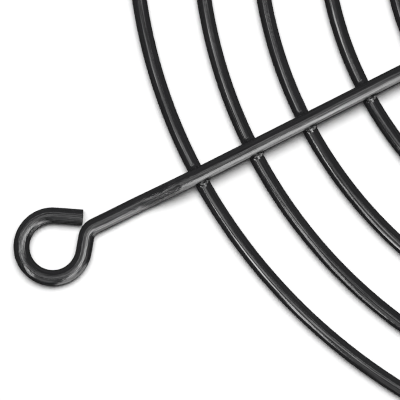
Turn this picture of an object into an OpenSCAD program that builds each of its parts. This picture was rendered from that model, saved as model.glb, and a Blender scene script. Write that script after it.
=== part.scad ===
// Wire finger guard for a 120 mm cooling fan.
// Concentric ring wires lie flat, and radial spoke wires cross over them and
// are welded on. Outside the largest ring each spoke steps down to the level
// of the rings and is curled into an open eye for the fan's corner screw.
// Origin: middle of the guard, on the plane it lies on. +Z is the spoke side.

/* [Fan] */
// Distance between neighbouring screw holes of the fan
hole_spacing = 105; // [104.5:0.1:105.5]

/* [Ring wires] */
// Thickness of the ring wire
ring_wire_d = 1.5; // [1.2:0.05:1.6]
// Mean diameter of the outer ring
outer_ring_d = 115; // [114:0.5:116]
// Mean diameter of the second ring
ring_2_d = 102.5; // [101:0.5:104]
// Mean diameter of the third ring
ring_3_d = 90; // [88.5:0.5:91.5]
// Mean diameter of the fourth ring
ring_4_d = 76.2; // [74.7:0.1:77.7]
// Mean diameter of the fifth ring
ring_5_d = 63; // [61.5:0.5:64.5]
// Mean diameter of the sixth ring
ring_6_d = 50; // [48.5:0.5:51.5]
// Mean diameter of the seventh ring
ring_7_d = 37; // [35.5:0.5:38.5]
// Mean diameter of the inner ring
inner_ring_d = 24; // [23:0.5:26]

/* [Spoke wires] */
// Thickness of the spoke wire
spoke_wire_d = 1.6; // [1.4:0.05:1.8]
// Depth that a spoke is pressed into each ring by the weld
weld_set_down = 0.15; // [0.05:0.05:0.25]
// How far a spoke's inner end reaches past the middle of the inner ring's wire
inner_overhang = 1.5; // [1:0.1:3]

/* [Step down to the eye] */
// Distance from the outer ring's middle line to the corner where the step starts
step_start = 2.7; // [2.6:0.1:3.5]
// Slope of the step
step_angle = 22.7; // [22:0.1:30]
// Bend radius of the step's two corners, at the wire's middle line
step_bend_r = 2; // [1.6:0.1:2.4]
// How far the underside of the eye stays above the underside of the rings
eye_lift = 0; // [0:0.05:0.3]

/* [Eye] */
// Clear width of the eye for the screw
eye_bore_d = 4.9; // [4.4:0.1:5.2]
// Angle at which the wire turns off the spoke to run onto the eye
eye_lead_angle = 53.7; // [50:0.1:57]
// Angle that the wire is curled through round the screw
eye_curl = 264.28; // [255:0.01:264.5]
// Bend radius where the wire turns off the spoke, at its middle line
eye_bend_r = 1; // [0.9:0.1:1.2]
// Straight length after the curl, up to the cut end
eye_tail = 2.9; // [0.5:0.1:2.9]

/* [Hidden] */
$fn = 64;
black_coat = [0.06, 0.06, 0.065];

ring_z = ring_wire_d / 2;
spoke_z = ring_wire_d + spoke_wire_d / 2 - weld_set_down;
eye_z = spoke_wire_d / 2 + eye_lift;
spoke_start = inner_ring_d / 2 - inner_overhang;

// The step: two equal corners and the slope between them.
step_drop = spoke_z - eye_z;
step_cut = step_bend_r * tan(step_angle / 2);
step_from = outer_ring_d / 2 + step_start;
step_slope = step_drop / sin(step_angle);
step_to = step_from + step_drop / tan(step_angle);

// The eye: its middle line is a circle round the screw, and the wire runs onto
// it along a line that leaves the spoke's own line at eye_corner.
eye_from_centre = hole_spacing / 2 * sqrt(2);
eye_r = eye_bore_d / 2 + spoke_wire_d / 2;
eye_corner = eye_from_centre - eye_r / sin(eye_lead_angle);
eye_cut = eye_bend_r * tan(eye_lead_angle / 2);
eye_lead = eye_r / tan(eye_lead_angle) - eye_cut;

// Each of the next modules makes one stretch of round wire that starts at the
// origin and runs along +X, and puts its children at that stretch's far end.
module run(length, d) {
    rotate([0, 90, 0]) cylinder(h = length, d = d);
    translate([length, 0, 0]) children();
}

module turn_left(r, angle, d) {
    translate([0, r, 0]) {
        rotate([0, 0, -90])
            rotate_extrude(angle = angle) translate([r, 0]) circle(d = d);
        rotate([0, 0, angle]) translate([0, -r, 0]) children();
    }
}

module turn_right(r, angle, d) {
    mirror([0, 1, 0])
        turn_left(r, angle, d)
            mirror([0, 1, 0]) children();
}

module turn_down(r, angle, d) {
    rotate([90, 0, 0])
        turn_right(r, angle, d)
            rotate([-90, 0, 0]) children();
}

module turn_up(r, angle, d) {
    rotate([90, 0, 0])
        turn_left(r, angle, d)
            rotate([-90, 0, 0]) children();
}

// The straight part of a spoke, over the rings. It also marks the rings.
module spoke_bar(length) {
    translate([spoke_start, 0, spoke_z]) run(length, spoke_wire_d);
}

module spoke() {
    d = spoke_wire_d;
    translate([spoke_start, 0, spoke_z])
        run(step_from - step_cut - spoke_start, d)
            turn_down(step_bend_r, step_angle, d)
                run(step_slope - 2 * step_cut, d)
                    turn_up(step_bend_r, step_angle, d)
                        run(eye_corner - eye_cut - step_to - step_cut, d)
                            turn_left(eye_bend_r, eye_lead_angle, d)
                                run(eye_lead, d)
                                    turn_right(eye_r, eye_curl, d)
                                        run(eye_tail, d);
}

// One ring wire, with the four shallow marks that the welded spokes leave.
module ring(mean_d) {
    color(black_coat)
        difference() {
            translate([0, 0, ring_z])
                rotate_extrude($fn = 160)
                    translate([mean_d / 2, 0]) circle(d = ring_wire_d, $fn = 32);
            for (corner = [45 : 90 : 315])
                rotate([0, 0, corner])
                    translate([mean_d / 2 - 2, 0, spoke_z])
                        rotate([0, 90, 0]) cylinder(h = 4, d = spoke_wire_d);
        }
}

module outer_ring() { ring(outer_ring_d); }
module ring_2() { ring(ring_2_d); }
module ring_3() { ring(ring_3_d); }
module ring_4() { ring(ring_4_d); }
module ring_5() { ring(ring_5_d); }
module ring_6() { ring(ring_6_d); }
module ring_7() { ring(ring_7_d); }
module inner_ring() { ring(inner_ring_d); }

module spoke_right_rear() { color(black_coat) rotate([0, 0, 45]) spoke(); }
module spoke_left_rear() { color(black_coat) rotate([0, 0, 135]) spoke(); }
module spoke_left_front() { color(black_coat) rotate([0, 0, 225]) spoke(); }
module spoke_right_front() { color(black_coat) rotate([0, 0, 315]) spoke(); }

outer_ring();
ring_2();
ring_3();
ring_4();
ring_5();
ring_6();
ring_7();
inner_ring();
spoke_right_rear();
spoke_left_rear();
spoke_left_front();
spoke_right_front();
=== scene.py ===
# Looks of the wire fan guard: every wire is swept here as its own mesh round
# the middle line that the frame gives it, with the weld fillets, bends, cut
# ends and drawing lines of real coated wire.
import math

import bpy
import numpy as np
from mathutils import Matrix, Vector


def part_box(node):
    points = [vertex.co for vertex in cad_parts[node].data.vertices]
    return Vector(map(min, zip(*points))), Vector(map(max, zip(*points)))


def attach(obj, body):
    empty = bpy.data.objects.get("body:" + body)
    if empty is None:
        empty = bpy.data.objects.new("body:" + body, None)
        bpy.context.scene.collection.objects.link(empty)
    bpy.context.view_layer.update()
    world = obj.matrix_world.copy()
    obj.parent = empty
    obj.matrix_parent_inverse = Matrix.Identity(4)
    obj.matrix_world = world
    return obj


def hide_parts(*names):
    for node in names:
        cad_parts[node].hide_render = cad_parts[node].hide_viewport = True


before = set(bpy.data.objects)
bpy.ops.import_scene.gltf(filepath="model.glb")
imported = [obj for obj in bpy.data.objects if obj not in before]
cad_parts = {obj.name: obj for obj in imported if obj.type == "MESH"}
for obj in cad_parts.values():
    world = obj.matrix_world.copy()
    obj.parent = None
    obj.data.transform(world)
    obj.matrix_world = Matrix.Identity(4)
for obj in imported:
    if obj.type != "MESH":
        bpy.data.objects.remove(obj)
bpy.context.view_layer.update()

MM = 0.001
RING_NAMES = ["outer_ring", "ring_2", "ring_3", "ring_4",
              "ring_5", "ring_6", "ring_7", "inner_ring"]
SPOKES = {"spoke_right_rear": 45.0, "spoke_left_rear": 135.0,
          "spoke_left_front": 225.0, "spoke_right_front": 315.0}

RING_R = 0.765         # ring wire with its coat: radius, mm
SPOKE_R = 0.835        # spoke wire with its coat
RING_Z = 0.765
SPOKE_Z = 2.125
EYE_Z = 0.835
CAD_RING_R = 0.75      # the bare ring wire in the frame


def ring_mean(name):
    lo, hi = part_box(name)
    outer = (hi.x - lo.x + hi.y - lo.y) / 4 / MM
    return round((outer - CAD_RING_R) / 0.05) * 0.05


RING_MEAN = {n: ring_mean(n) for n in RING_NAMES}

# ---------------------------------------------------------------- irregularity
# A real guard is a little out of true: each ring is slightly out of round.
# name: (off centre by, mm, towards; size of the 2-lobe part, its angle; size of the 3-lobe part, its angle)
OUT_OF_ROUND = {
    "outer_ring": (0.04, 48.3, 0.316, -12.9, 0.328, -38.3),
    "ring_2": (0.06, 48.3, 0.04, -35.4, 0.02, -12.3),
    "ring_3": (0.075, 48.3, 0.064, 15.0, 0.077, -42.3),
    "ring_4": (0.1, 48.3, 0.093, 1.1, 0.134, -48.3),
    "ring_5": (0.06, 80.0, 0.05, 20.0, 0.03, 70.0),
    "ring_6": (0.05, 20.0, 0.05, 110.0, 0.03, 10.0),
    "ring_7": (0.04, 120.0, 0.05, 65.0, 0.02, 40.0),
    "inner_ring": (0.04, 310.0, 0.04, 150.0, 0.02, 80.0),
}
# Where each ring's own butt weld is, in degrees round the guard.
RING_SEAM = {"outer_ring": 98.0, "ring_2": 262.0, "ring_3": 81.0, "ring_4": 277.0,
             "ring_5": 102.0, "ring_6": 254.0, "ring_7": 84.0, "inner_ring": 275.0}

rng = np.random.default_rng(20120)


def ring_radius(name, theta):
    a1, p1, a2, p2, a3, p3 = OUT_OF_ROUND[name]
    return (RING_MEAN[name] + a1 * np.cos(theta - math.radians(p1)) + a2 * np.cos(2 * (theta - math.radians(p2)))
            + a3 * np.cos(3 * (theta - math.radians(p3))))


# Sideways set of each spoke (mm) at a distance x from the centre: an even
# shift where it was stepped down, and a slow wander.
SPOKE_WANDER = {"spoke_right_rear": (-0.06, 0.05, 0.6), "spoke_left_rear": (0.04, 0.04, 2.3),
                "spoke_left_front": (0.110, 0.012, 3.0), "spoke_right_front": (0.05, 0.05, 4.4)}


def spoke_side(name, x):
    shift, amp, ph = SPOKE_WANDER[name]
    x = np.asarray(x)
    t = np.clip((66.0 - x) / 7.5, 0, 1)
    lead = np.clip((72.0 - x) / 5.0, 0, 1) * 0.06
    return (shift + amp * np.sin(2 * math.pi * x / 62.0 + ph)) * t * t * (3 - 2 * t) + lead


# Each weld: how far the squeezed metal's middle lies outward along the spoke and
# sideways, its half sizes, the blend radius, and the bead pressed out at one
# corner (outward, sideways, half width).
WELDS = {}
for s_name, s_deg in SPOKES.items():
    for r_name in RING_NAMES:
        WELDS[(r_name, s_name)] = dict(
            du=float(rng.uniform(-0.16, 0.16)), dv=float(rng.uniform(-0.16, 0.16)),
            ru=float(rng.uniform(0.82, 0.92)), rv=float(rng.uniform(0.80, 0.90)),
            rz=float(rng.uniform(0.26, 0.34)), k=float(rng.uniform(0.50, 0.66)),
            bead=(float(rng.choice([-1.0, 1.0]) * rng.uniform(0.50, 0.66)),
                  float(rng.choice([-1.0, 1.0]) * rng.uniform(0.60, 0.74)), float(rng.uniform(0.32, 0.42))))
for r_name, du, dv, ru, rv, k, bead in (
        ("outer_ring", -0.04, 0.02, 0.86, 0.84, 0.66, (-0.46, 0.64, 0.40)),
        ("ring_2", -0.06, 0.00, 0.86, 0.82, 0.64, (-0.56, 0.62, 0.40)),
        ("ring_3", -0.04, 0.01, 0.85, 0.82, 0.64, (-0.52, 0.62, 0.38)),
        ("ring_4", -0.04, 0.00, 0.86, 0.82, 0.66, (-0.56, 0.62, 0.41))):
    WELDS[(r_name, "spoke_left_front")].update(du=du, dv=dv, ru=ru, rv=rv, k=k, rz=0.30, bead=bead)


def smin(a, b, k):
    h = np.maximum(k - np.abs(a - b), 0.0) / k
    return np.minimum(a, b) - h * h * k * 0.25


def weld_field(p, r_name, s_name):
    """Distance-like field of one ring, one spoke and the squeezed metal between them, at points p in mm."""
    w = WELDS[(r_name, s_name)]
    a = math.radians(SPOKES[s_name])
    x = p[..., 0] * math.cos(a) + p[..., 1] * math.sin(a)
    y = -p[..., 0] * math.sin(a) + p[..., 1] * math.cos(a)
    z = p[..., 2]
    theta = np.arctan2(p[..., 1], p[..., 0])
    d_ring = np.hypot(np.hypot(x, y) - ring_radius(r_name, theta), z - RING_Z) - RING_R
    d_spoke = np.hypot(y - spoke_side(s_name, x), z - SPOKE_Z) - SPOKE_R
    mean = ring_radius(r_name, np.array(a))
    q = np.stack([x - mean - w["du"], y - spoke_side(s_name, mean) - w["dv"], z - 1.42], -1)
    size = np.array([w["ru"], w["rv"], w["rz"]])
    k0 = np.linalg.norm(q / size, axis=-1)
    k1 = np.linalg.norm(q / size ** 2, axis=-1)
    d_nugget = k0 * (k0 - 1.0) / np.maximum(k1, 1e-6)
    bu, bv, br = w["bead"]
    b = np.stack([x - mean - bu, y - spoke_side(s_name, mean) - bv, (z - 1.40) * 1.45], -1)
    d_bead = (np.linalg.norm(b, axis=-1) - br) * 0.8
    return smin(smin(smin(d_ring, d_spoke, w["k"]), d_nugget, 0.32), d_bead, 0.36)


T_GRID = np.linspace(0.0, 0.62, 32)


def swell(points, out, r_name, s_name):
    """How far each point of a wire's skin moves out along its own normal to reach the welded, coated surface."""
    f = weld_field(points[:, None, :] + out[:, None, :] * T_GRID[None, :, None], r_name, s_name)
    t = np.zeros(len(points))
    inside = f[:, 0] < -1e-5
    crossed = f >= 0
    first = np.argmax(crossed, axis=1)
    has = crossed.any(axis=1) & inside
    i = np.nonzero(has)[0]
    j = first[i]
    f0, f1 = f[i, j - 1], f[i, j]
    t[i] = T_GRID[j - 1] + (T_GRID[j] - T_GRID[j - 1]) * (-f0) / (f1 - f0)
    t[inside & ~crossed.any(axis=1)] = 0.22
    return t


# ------------------------------------------------------------------ the sweeper
def steps(stops, fine, zones, coarse):
    """Places along a line from stops[0] to stops[-1]: step `fine` inside the zones, `coarse` outside, easing between."""
    out = [stops[0]]
    while out[-1] < stops[-1] - 1e-9:
        s = out[-1]
        h = coarse
        for lo, hi in zones:
            gap = max(lo - s, s - hi, 0.0)
            h = min(h, fine + 0.35 * gap)
        nxt = s + h
        for e in stops:
            if s < e - 1e-9 and nxt > e - 0.45 * h:
                nxt = e
                break
        out.append(nxt)
    return np.array(out)


def build(name, P, W, V, S, radius, closed, sides, uv_shift, extra, worn):
    """One mesh from rows of a swept round section. P middle line, W/V section axes, S length along the wire (mm)."""
    n = len(P)
    phi = np.linspace(0, 2 * math.pi, sides, endpoint=False)
    out = np.cos(phi)[None, :, None] * W[:, None, :] + np.sin(phi)[None, :, None] * V[:, None, :]
    r = radius if np.ndim(radius) else np.full(n, radius)
    pts = P[:, None, :] + out * r[:, None, None]
    move = extra(pts.reshape(-1, 3), out.reshape(-1, 3), S, phi).reshape(n, sides)
    pts = pts + out * move[:, :, None]
    verts = pts.reshape(-1, 3)
    rows = n if closed else n - 1
    i = np.arange(rows)
    j = np.arange(sides)
    a = (i[:, None] * sides + j[None, :])
    b = (i[:, None] * sides + (j[None, :] + 1) % sides)
    c = (((i + 1) % n)[:, None] * sides + (j[None, :] + 1) % sides)
    d = (((i + 1) % n)[:, None] * sides + j[None, :])
    quads = np.stack([a, b, c, d], -1).reshape(-1, 4)
    u0 = np.broadcast_to((j / sides)[None, :], (rows, sides))
    u1 = np.broadcast_to(((j + 1) / sides)[None, :], (rows, sides))
    s_next = np.append(S[1:], S[0] + closed) if closed else S[1:]
    s0 = np.broadcast_to(S[:rows][:, None], (rows, sides))
    s1 = np.broadcast_to(s_next[:rows][:, None], (rows, sides))
    uv = np.stack([np.stack([u0, s0], -1), np.stack([u1, s0], -1),
                   np.stack([u1, s1], -1), np.stack([u0, s1], -1)], 2).reshape(-1, 2)
    faces = [quads]
    loops_uv = [uv]
    if not closed:
        # flat cut ends, closed with a fan round a middle point
        for end, flip in ((0, True), (n - 1, False)):
            centre = P[end] + (P[end] - P[1 if end == 0 else n - 2]) * 0.0
            verts = np.vstack([verts, centre[None, :]])
            m = len(verts) - 1
            j0 = end * sides + j
            j1 = end * sides + (j + 1) % sides
            tri = np.stack([j1, j0, np.full(sides, m)], -1) if flip else np.stack([j0, j1, np.full(sides, m)], -1)
            faces.append(tri)
            fan = np.zeros((sides, 3, 2))
            fan[:, 0, 0] = (j + 1) / sides if flip else j / sides
            fan[:, 1, 0] = j / sides if flip else (j + 1) / sides
            fan[:, 2, 0] = (j + 0.5) / sides
            fan[:, :, 1] = S[end]
            fan[:, 2, 1] = S[end] + (-0.8 if end == 0 else 0.8)
            loops_uv.append(fan.reshape(-1, 2))
    mesh = bpy.data.meshes.new(name + "_wire")
    mesh.vertices.add(len(verts))
    mesh.vertices.foreach_set("co", (verts * MM).astype(np.float32).ravel())
    loop_total = np.concatenate([np.full(len(f), f.shape[1]) for f in faces])
    loop_start = np.concatenate([[0], np.cumsum(loop_total)[:-1]])
    index = np.concatenate([f.ravel() for f in faces])
    mesh.loops.add(len(index))
    mesh.loops.foreach_set("vertex_index", index.astype(np.int32))
    mesh.polygons.add(len(loop_total))
    mesh.polygons.foreach_set("loop_start", loop_start.astype(np.int32))
    mesh.polygons.foreach_set("loop_total", loop_total.astype(np.int32))
    mesh.polygons.foreach_set("use_smooth", np.ones(len(loop_total), bool))
    all_uv = np.concatenate(loops_uv)
    wire = mesh.uv_layers.new(name="wire")
    shifted = all_uv.copy()
    shifted[:, 1] += uv_shift
    wire.data.foreach_set("uv", shifted.astype(np.float32).ravel())
    # a second map for baked textures: the unrolled skin, cut into stacked strips
    length = float((S[-1] + (closed or 0.0)) - S[0]) + 1.7
    girth = 2 * math.pi * (RING_R if closed else SPOKE_R)
    strips = max(1, int(round(math.sqrt(length / girth / 1.15))))
    strip_len = length / strips
    start = float(S[0]) - 0.85
    first_loop = loop_start
    face_s = np.array([all_uv[a:a + t, 1].mean() for a, t in zip(first_loop, loop_total)])
    row = np.clip(((face_s - start) / strip_len).astype(int), 0, strips - 1)
    loop_row = np.repeat(row, loop_total)
    bake = np.empty_like(all_uv)
    span = (all_uv[:, 1] - start - loop_row * strip_len) / strip_len
    bake[:, 0] = 0.01 + 0.98 * np.clip(span * 0.985 + 0.0075, 0, 1)
    bake[:, 1] = (loop_row + 0.04 + 0.92 * all_uv[:, 0]) / strips
    layer = mesh.uv_layers.new(name="OFBake")
    layer.data.foreach_set("uv", bake.astype(np.float32).ravel())
    mesh.uv_layers.active = wire
    wire.active_render = True
    wear = np.repeat(worn, sides)
    wear = np.concatenate([wear, np.zeros(len(verts) - len(wear))])
    mesh.attributes.new("worn", "FLOAT", "POINT").data.foreach_set("value", wear.astype(np.float32))
    mesh.update(calc_edges=True)
    mesh.validate(verbose=False)
    obj = bpy.data.objects.new(name + "_wire", mesh)
    bpy.context.scene.collection.objects.link(obj)
    return obj


def die_lines(f, s, parts, seed):
    """Low ridges that the drawing die leaves all along a wire: (how many round the wire, height in mm)."""
    g = np.random.default_rng(seed)
    h = np.zeros(len(f))
    for count, height in parts:
        h += height * np.cos(count * f + g.uniform(0, 2 * math.pi) + 0.5 * np.sin(s / g.uniform(9.0, 16.0) + g.uniform(0, 6)))
    return h


# ------------------------------------------------------------------------ rings
def make_ring(name, index):
    mean = RING_MEAN[name]
    total = 2 * math.pi * mean
    welds = [math.radians(a) * mean for a in SPOKES.values()]
    seam = math.radians(RING_SEAM[name]) * mean
    zones = [(w - 1.5, w + 1.5) for w in welds] + [(seam - 0.9, seam + 0.9)]
    coarse = min(1.3, math.sqrt(8 * mean * 0.0035))
    S = steps([0.0, total], 0.075, zones, coarse)[:-1]
    theta = S / mean
    r = ring_radius(name, theta)
    P = np.stack([r * np.cos(theta), r * np.sin(theta), np.full(len(S), RING_Z)], -1)
    W = np.stack([np.cos(theta), np.sin(theta), np.zeros(len(S))], -1)
    V = np.tile([0.0, 0.0, 1.0], (len(S), 1))

    def extra(pts, out, S, phi):
        move = np.zeros(len(pts))
        at = np.repeat(theta, len(phi))
        f = np.tile(phi, len(S))
        for s_name, deg in SPOKES.items():
            near = np.abs((at - math.radians(deg)) * mean) < 2.1
            move[near] = swell(pts[near], out[near], name, s_name)
        # the ring's own butt weld: a low collar, dressed flat underneath
        near = np.exp(-(((at * mean - seam) / 0.42) ** 2))
        lump = 0.085 * near * (0.8 + 0.2 * np.cos(2 * f + index))
        lump *= np.clip((np.sin(f) + 0.92) / 0.5, 0, 1)
        move += die_lines(f, at * mean, ((6, 0.0022), (9, 0.0014)), 300 + index)
        return move + lump

    # the section runs clockwise seen along the wire, so faces point outward
    obj = build(name, P, W, V, S, RING_R, total, 52, 40.0 * index + 3.0, extra, np.full(len(S), 0.02))
    return obj


# ----------------------------------------------------------------------- spokes
SPOKE_START = 10.5
STEP_FROM, STEP_ANGLE, STEP_R = 60.2, math.radians(22.7), 4.4
EYE_FROM_CENTRE = 105 / 2 * math.sqrt(2)
EYE_R = 4.9 / 2 + 0.80
LEAD_ANGLE, EYE_CURL, BEND_R, TAIL = math.radians(53.7), math.radians(264.28), 1.6, 2.9


def spoke_path(name):
    """Middle line in the spoke's own frame: x outward, y to the left, z up. Returns rows of points and tangents."""
    drop = SPOKE_Z - EYE_Z
    cut = STEP_R * math.tan(STEP_ANGLE / 2)
    slope = drop / math.sin(STEP_ANGLE) - 2 * cut
    step_to = STEP_FROM + drop / math.tan(STEP_ANGLE)
    corner = EYE_FROM_CENTRE - EYE_R / math.sin(LEAD_ANGLE)
    eye_cut = BEND_R * math.tan(LEAD_ANGLE / 2)
    lead = EYE_R / math.tan(LEAD_ANGLE) - eye_cut
    plan = [("run", STEP_FROM - cut - SPOKE_START), ("pitch", STEP_R, -STEP_ANGLE),
            ("run", slope), ("pitch", STEP_R, STEP_ANGLE),
            ("run", corner - eye_cut - step_to - cut), ("yaw", BEND_R, LEAD_ANGLE),
            ("run", lead), ("yaw", EYE_R, -EYE_CURL), ("run", TAIL)]
    pos = np.array([SPOKE_START, 0.0, SPOKE_Z])
    yaw = pitch = 0.0
    s = 0.0
    rows_s, rows_p, rows_t = [], [], []
    weld_at = [RING_MEAN[r] - SPOKE_START for r in RING_NAMES]
    marks = []
    for part in plan:
        if part[0] == "run":
            length = part[1]
            if len(marks) == 0:
                zones = [(w - 1.45, w + 1.45) for w in weld_at]
                t = steps([0.0, length], 0.075, zones, 1.6)
            else:
                t = np.linspace(0, length, max(3, int(length / 0.11) + 1))
            step = t
            d = np.array([math.cos(yaw) * math.cos(pitch), math.sin(yaw) * math.cos(pitch), math.sin(pitch)])
            p = pos + d * step[:, None]
            tan = np.tile(d, (len(step), 1))
            end, end_s = pos + d * length, s + length
            ss = s + step
        else:
            kind, R, angle = part
            k = max(6, int(abs(angle) * R / 0.12) + 1, int(abs(angle) / math.radians(5.0)) + 1)
            a = np.linspace(0, angle, k + 1)
            sign = 1.0 if angle > 0 else -1.0
            if kind == "yaw":
                c = pos + R * sign * np.array([-math.sin(yaw), math.cos(yaw), 0.0])
                ang = yaw + a
                p = c + R * sign * np.stack([np.sin(ang), -np.cos(ang), np.zeros(len(a))], -1)
                tan = np.stack([np.cos(ang), np.sin(ang), np.zeros(len(a))], -1)
                yaw += angle
            else:
                h = np.array([math.cos(yaw), math.sin(yaw), 0.0])
                up = np.array([0.0, 0.0, 1.0])
                c = pos + R * sign * (-math.sin(pitch) * h + math.cos(pitch) * up)
                ang = pitch + a
                p = c + R * sign * (np.sin(ang)[:, None] * h - np.cos(ang)[:, None] * up)
                tan = np.cos(ang)[:, None] * h + np.sin(ang)[:, None] * up
                pitch += angle
            end, end_s = p[-1], s + R * abs(angle)
            ss = s + R * np.abs(a)
        keep = slice(0, None) if not rows_s else slice(1, None)
        rows_s.append(ss[keep]); rows_p.append(p[keep]); rows_t.append(tan[keep])
        marks.append(s)
        pos, s = end, end_s
    return np.concatenate(rows_s), np.concatenate(rows_p), np.concatenate(rows_t), marks


def make_spoke(name, index):
    S, P, T, marks = spoke_path(name)
    # rounded arrises of the two cut ends
    e = 0.07
    total = S[-1]
    ease = e * (1 - np.cos(np.linspace(0, math.pi / 2, 6)))
    head = np.concatenate([ease, [0.14, 0.24, 0.35]])
    S_mid = S[(S > 0.45) & (S < total - 0.45)]
    S2 = np.concatenate([head, S_mid, (total - head)[::-1]])
    P = np.stack([np.interp(S2, S, P[:, k]) for k in range(3)], -1)
    T = np.stack([np.interp(S2, S, T[:, k]) for k in range(3)], -1)
    T /= np.linalg.norm(T, axis=1)[:, None]
    S = S2
    near_end = np.minimum(S, total - S)
    rad = np.where(near_end < e, SPOKE_R - e + np.sqrt(np.maximum(e * e - (e - near_end) ** 2, 0)), SPOKE_R)
    P[:, 1] += spoke_side(name, P[:, 0])
    W = np.stack([-T[:, 1], T[:, 0], np.zeros(len(T))], -1)
    W /= np.linalg.norm(W, axis=1)[:, None]
    V = np.cross(T, W)
    a = math.radians(SPOKES[name])
    rot = np.array([[math.cos(a), -math.sin(a), 0], [math.sin(a), math.cos(a), 0], [0, 0, 1]])
    P, W, V = P @ rot.T, W @ rot.T, V @ rot.T
    # tool marks over the step and round the eye: short scored lines, a little
    # askew, and small pits (place along, place round, half length, half width, lean, depth)
    local = np.random.default_rng(700 + index)
    dents = []
    step_lo, step_hi, eye_lo = marks[1] - 1.4, marks[4] + 1.3, marks[5]
    for lo, hi, count, long_lo, long_hi, wide, size in (
            (step_lo, step_hi, 46, 0.15, 0.65, 0.062, 0.017), (step_lo, step_hi, 40, 0.06, 0.12, 0.070, 0.020),
            (eye_lo, total - 0.3, 26, 0.50, 1.60, 0.080, 0.012), (total - TAIL, total, 8, 0.30, 0.90, 0.080, 0.018)):
        for _ in range(count):
            dents.append((local.uniform(lo, hi), local.uniform(0.1, 3.0), local.uniform(long_lo, long_hi),
                          wide * local.uniform(0.9, 1.5), local.uniform(-0.16, 0.16),
                          size * local.choice([-1.0, -0.7, 0.6, 0.9])))
    worn = 0.03 + 0.97 * np.exp(-(((S - (step_lo + step_hi) / 2) / 3.0) ** 4))
    worn = np.maximum(worn, 0.45 * np.clip((S - marks[5] + 1.0) / 2.0, 0, 1))
    worn = np.maximum(worn, 0.75 * np.clip((S - total + TAIL + 1.5) / 2.0, 0, 1))

    def extra(pts, out, S, phi):
        move = np.zeros(len(pts))
        s = np.repeat(S, len(phi))
        f = np.tile(phi, len(S))
        for r_name in RING_NAMES:
            near = np.abs(s + SPOKE_START - RING_MEAN[r_name]) < 2.0
            move[near] = np.maximum(move[near], swell(pts[near], out[near], r_name, name))
        for s0, f0, length, width, lean, h in dents:
            near = np.abs(s - s0) < 3 * length
            a = s[near] - s0
            b = ((f[near] - f0 + math.pi) % (2 * math.pi) - math.pi) * SPOKE_R
            along, across = a + lean * b, b - lean * a
            move[near] += h * np.exp(-((along / length) ** 4) - (across / width) ** 2)
        strength = 0.8 + 1.0 * np.clip((s - marks[5] + 1.0) / 2.5, 0, 1)
        move += strength * die_lines(f, s, ((7, 0.0032), (11, 0.0024), (15, 0.0016)), 500 + index)
        return move

    obj = build(name, P, W, V, S, rad, 0, 76, 40.0 * index + 400.0, extra, worn)
    return obj


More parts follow.
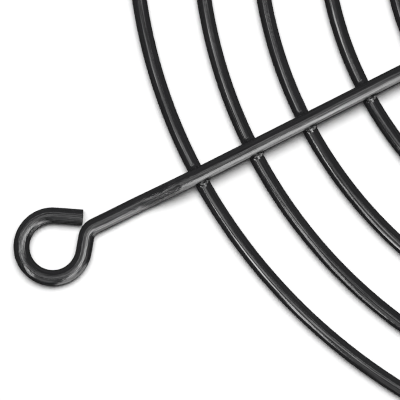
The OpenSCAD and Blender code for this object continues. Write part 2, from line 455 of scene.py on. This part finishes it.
# -------------------------------------------------------------------- materials
def coated_wire(name, seed, base, line_strength):
    mat = bpy.data.materials.new(name)
    mat.use_nodes = True
    nt = mat.node_tree
    nt.nodes.clear()
    N, L = nt.nodes.new, nt.links.new

    def math_node(op, a=None, b=None, v=None):
        m = N("ShaderNodeMath")
        m.operation = op
        if a is not None:
            L(a, m.inputs[0])
        if b is not None:
            L(b, m.inputs[1])
        if v is not None:
            m.inputs[1].default_value = v
        return m.outputs[0]

    out = N("ShaderNodeOutputMaterial")
    bsdf = N("ShaderNodeBsdfPrincipled")
    L(bsdf.outputs[0], out.inputs[0])
    uv = N("ShaderNodeUVMap"); uv.uv_map = "wire"
    sep = N("ShaderNodeSeparateXYZ"); L(uv.outputs[0], sep.inputs[0])
    turn = math_node("MULTIPLY", sep.outputs[0], v=2 * math.pi)
    cx = math_node("COSINE", turn)
    sx = math_node("SINE", turn)

    def place(around, along):
        """A point on the unrolled wire: `around` stretches the girth, `along` the length."""
        comb = N("ShaderNodeCombineXYZ")
        L(math_node("MULTIPLY", cx, v=around), comb.inputs[0])
        L(math_node("MULTIPLY", sx, v=around), comb.inputs[1])
        L(math_node("MULTIPLY_ADD", sep.outputs[1], v=along), comb.inputs[2])
        comb.inputs[2].links[0].from_node.inputs[2].default_value = seed
        return comb.outputs[0]

    def noise(vec, scale, detail, rough=0.5):
        t = N("ShaderNodeTexNoise")
        t.noise_dimensions = "3D"
        t.inputs["Scale"].default_value = scale
        t.inputs["Detail"].default_value = detail
        t.inputs["Roughness"].default_value = rough
        L(vec, t.inputs["Vector"])
        return t.outputs[0]

    lines_fine = noise(place(0.8, 0.020), 10.0, 2.0, 0.6)
    lines_broad = noise(place(0.8, 0.012), 5.0, 1.0, 0.5)
    orange = noise(place(0.8, 1.0), 2.2, 2.0, 0.5)
    pits = noise(place(0.8, 1.0), 9.0, 2.0, 0.6)
    scuffs = noise(place(0.8, 0.26), 7.0, 2.5, 0.65)
    worn = N("ShaderNodeAttribute")
    worn.attribute_name = "worn"

    # colour: near black, slightly greyer where the coat is thin over the lines
    ramp = N("ShaderNodeValToRGB")
    ramp.color_ramp.elements[0].position = 0.30
    ramp.color_ramp.elements[0].color = (*[c * 0.75 for c in base], 1)
    ramp.color_ramp.elements[1].position = 0.75
    ramp.color_ramp.elements[1].color = (*[c * 1.45 for c in base], 1)
    L(lines_fine, ramp.inputs[0])
    L(ramp.outputs[0], bsdf.inputs["Base Color"])

    # roughness: glossy, broken by the lines and a faint haze
    mix = math_node("ADD", math_node("MULTIPLY", lines_fine, v=0.10), math_node("MULTIPLY", orange, v=0.10))
    r_map = N("ShaderNodeMapRange")
    r_map.inputs["From Min"].default_value = 0.06
    r_map.inputs["From Max"].default_value = 0.14
    r_map.inputs["To Min"].default_value = 0.06
    r_map.inputs["To Max"].default_value = 0.13
    L(mix, r_map.inputs[0])
    L(r_map.outputs[0], bsdf.inputs["Roughness"])

    # the coat shines more on some drawing lines than on others
    s_map = N("ShaderNodeMapRange")
    s_map.inputs["From Min"].default_value = 0.39
    s_map.inputs["From Max"].default_value = 0.61
    s_map.inputs["To Min"].default_value = 0.22
    s_map.inputs["To Max"].default_value = 0.80
    L(math_node("MULTIPLY", math_node("ADD", lines_broad, lines_fine), v=0.5), s_map.inputs[0])
    L(s_map.outputs[0], bsdf.inputs["Specular IOR Level"])

    h1 = math_node("MULTIPLY", lines_fine, v=line_strength * 0.45)
    deeper = math_node("MULTIPLY_ADD", worn.outputs["Fac"], v=2.2)
    deeper.node.inputs[2].default_value = line_strength
    h2 = math_node("MULTIPLY", lines_broad, deeper)
    h3 = math_node("MULTIPLY", orange, v=0.16)
    h4 = math_node("MULTIPLY", pits, v=0.02)
    h5 = math_node("MULTIPLY", math_node("MULTIPLY", scuffs, worn.outputs["Fac"]), v=2.6)
    height = math_node("ADD", math_node("ADD", math_node("ADD", h1, h2), math_node("ADD", h3, h4)), h5)
    bump = N("ShaderNodeBump")
    bump.inputs["Strength"].default_value = 1.0
    bump.inputs["Distance"].default_value = 0.000024
    L(height, bump.inputs["Height"])
    L(bump.outputs[0], bsdf.inputs["Normal"])

    bsdf.inputs["Metallic"].default_value = 0.0
    bsdf.inputs["IOR"].default_value = 1.5
    return mat


ring_coat = coated_wire("ring_wire_coat", 3.7, (0.0158, 0.0158, 0.0166), 0.8)
spoke_coat = coated_wire("spoke_wire_coat", 9.1, (0.0158, 0.0158, 0.0166), 1.0)

for i, n in enumerate(RING_NAMES):
    o = make_ring(n, i)
    o.data.materials.append(ring_coat)
    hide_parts(n)
    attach(o, "root")
for i, n in enumerate(SPOKES):
    o = make_spoke(n, i)
    o.data.materials.append(spoke_coat)
    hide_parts(n)
    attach(o, "root")

# --------------------------------------------------------------------- the view
ROLL = math.radians(18.3)
RIGHT = Vector((math.cos(ROLL), math.sin(ROLL), 0))
UP = Vector((-math.sin(ROLL), math.cos(ROLL), 0))
OUT = Vector((0, 0, 1))
eye = Vector((-52.5, -52.5, 0)) * MM
target = eye + (RIGHT * 15.29 + UP * 4.850) * MM + Vector((0, 0, 1.5)) * MM
FRAME_W = 41.49 * MM
LENS, SENSOR = 400.0, 36.0
cam_data = bpy.data.cameras.new("camera")
cam_data.lens, cam_data.sensor_width = LENS, SENSOR
cam_data.clip_start, cam_data.clip_end = 0.01, 20
cam = bpy.data.objects.new("camera", cam_data)
bpy.context.scene.collection.objects.link(cam)
cam.matrix_world = Matrix((
    (RIGHT.x, UP.x, OUT.x, target.x),
    (RIGHT.y, UP.y, OUT.y, target.y),
    (RIGHT.z, UP.z, OUT.z, target.z + FRAME_W * LENS / SENSOR),
    (0, 0, 0, 1)))
bpy.context.scene.camera = cam

# ------------------------------------------------------------- floor and lights
bpy.context.scene.view_settings.view_transform = "Standard"

floor_mesh = bpy.data.meshes.new("floor")
R_FLOOR = 14.0
floor_mesh.from_pydata([(-R_FLOOR, -R_FLOOR, 0), (R_FLOOR, -R_FLOOR, 0), (R_FLOOR, R_FLOOR, 0), (-R_FLOOR, R_FLOOR, 0)],
                       [], [(0, 1, 2, 3)])
floor = bpy.data.objects.new("floor", floor_mesh)
floor.location.z = -0.00001
bpy.context.scene.collection.objects.link(floor)
paper = bpy.data.materials.new("paper")
paper.use_nodes = True
pn = paper.node_tree
pn.nodes.clear()
p_out = pn.nodes.new("ShaderNodeOutputMaterial")
p_dif = pn.nodes.new("ShaderNodeBsdfDiffuse")
p_dif.inputs[0].default_value = (0.82, 0.82, 0.82, 1)
pn.links.new(p_dif.outputs[0], p_out.inputs[0])
floor_mesh.materials.append(paper)
floor.visible_glossy = False


def sky(az, lean):
    """Direction from the guard: az clockwise on the picture from its right-hand side, lean from straight up, in degrees."""
    a, r = math.radians(az), math.radians(lean)
    return (RIGHT * math.cos(a) - UP * math.sin(a)) * math.sin(r) + OUT * math.cos(r)


def softbox(name, az, lean, toward, long_deg, short_deg, power, dist=1.6, diffuse=False, glossy=True,
            shape="RECTANGLE"):
    data = bpy.data.lights.new(name, "AREA")
    data.shape = shape
    d = sky(az, lean)
    z = d.normalized()
    x = (sky(*toward) - z * sky(*toward).dot(z)).normalized()
    y = z.cross(x)
    data.size = 2 * dist * math.tan(math.radians(long_deg / 2))
    data.size_y = 2 * dist * math.tan(math.radians(short_deg / 2))
    data.energy = power * data.size * data.size_y * math.pi * (math.pi / 4 if shape == "ELLIPSE" else 1.0)
    o = bpy.data.objects.new(name, data)
    bpy.context.scene.collection.objects.link(o)
    p = target + d * dist
    o.matrix_world = Matrix(((x.x, y.x, z.x, p.x), (x.y, y.y, z.y, p.y), (x.z, y.z, z.z, p.z), (0, 0, 0, 1)))
    o.visible_camera = False
    o.visible_diffuse = diffuse
    o.visible_glossy = glossy
    return o


# the one light that shows on the floor: a big soft window, longer one way
softbox("key", 277, 19, (333, 60), 48, 30, 11.7, dist=12.0, diffuse=True, glossy=False, shape="ELLIPSE")
# what the wires mirror
softbox("overhead_a", 232.7, 19.9, (350, 90), 58, 17.2, 1.9)
softbox("overhead_b", 155.6, 9.5, (350, 90), 58, 10.8, 1.9)
softbox("overhead_step", 48, 15, (63, 90), 26, 20, 1.9)
softbox("right_strip", 52, 46, (63, 64), 74, 20, 6.8)
softbox("right_near", 18, 33, (34, 38), 36, 13, 5.0)
softbox("front_fill", 108, 54, (108, 90), 58, 26, 0.8)
softbox("right_low", 58, 100, (148, 90), 56, 48, 2.9)
softbox("left_line", 163, 28, (180, 23), 34, 6, 4.8)
softbox("left_strip", 134, 51, (127, 72), 38, 9, 9.5)

world = bpy.data.worlds.new("studio")
bpy.context.scene.world = world
world.use_nodes = True
wn = world.node_tree
wn.nodes.clear()
w_out = wn.nodes.new("ShaderNodeOutputWorld")
w_mix = wn.nodes.new("ShaderNodeMixShader")
w_dim = wn.nodes.new("ShaderNodeBackground")
w_dim.inputs[0].default_value = (1, 1, 1, 1)
w_dim.inputs[1].default_value = 0.12
w_dark = wn.nodes.new("ShaderNodeBackground")
w_dark.inputs[0].default_value = (1, 1, 1, 1)
w_dark.inputs[1].default_value = 0.05
w_mix2 = wn.nodes.new("ShaderNodeMixShader")
w_pale = wn.nodes.new("ShaderNodeBackground")
w_pale.inputs[0].default_value = (1, 1, 1, 1)
w_pale.inputs[1].default_value = 1.0
w_path = wn.nodes.new("ShaderNodeLightPath")
wn.links.new(w_path.outputs["Is Camera Ray"], w_mix.inputs[0])
wn.links.new(w_path.outputs["Is Glossy Ray"], w_mix2.inputs[0])
wn.links.new(w_dim.outputs[0], w_mix2.inputs[1])
wn.links.new(w_dark.outputs[0], w_mix2.inputs[2])
wn.links.new(w_mix2.outputs[0], w_mix.inputs[1])
wn.links.new(w_pale.outputs[0], w_mix.inputs[2])
wn.links.new(w_mix.outputs[0], w_out.inputs[0])

bpy.context.scene.cycles.filter_width = 1.15
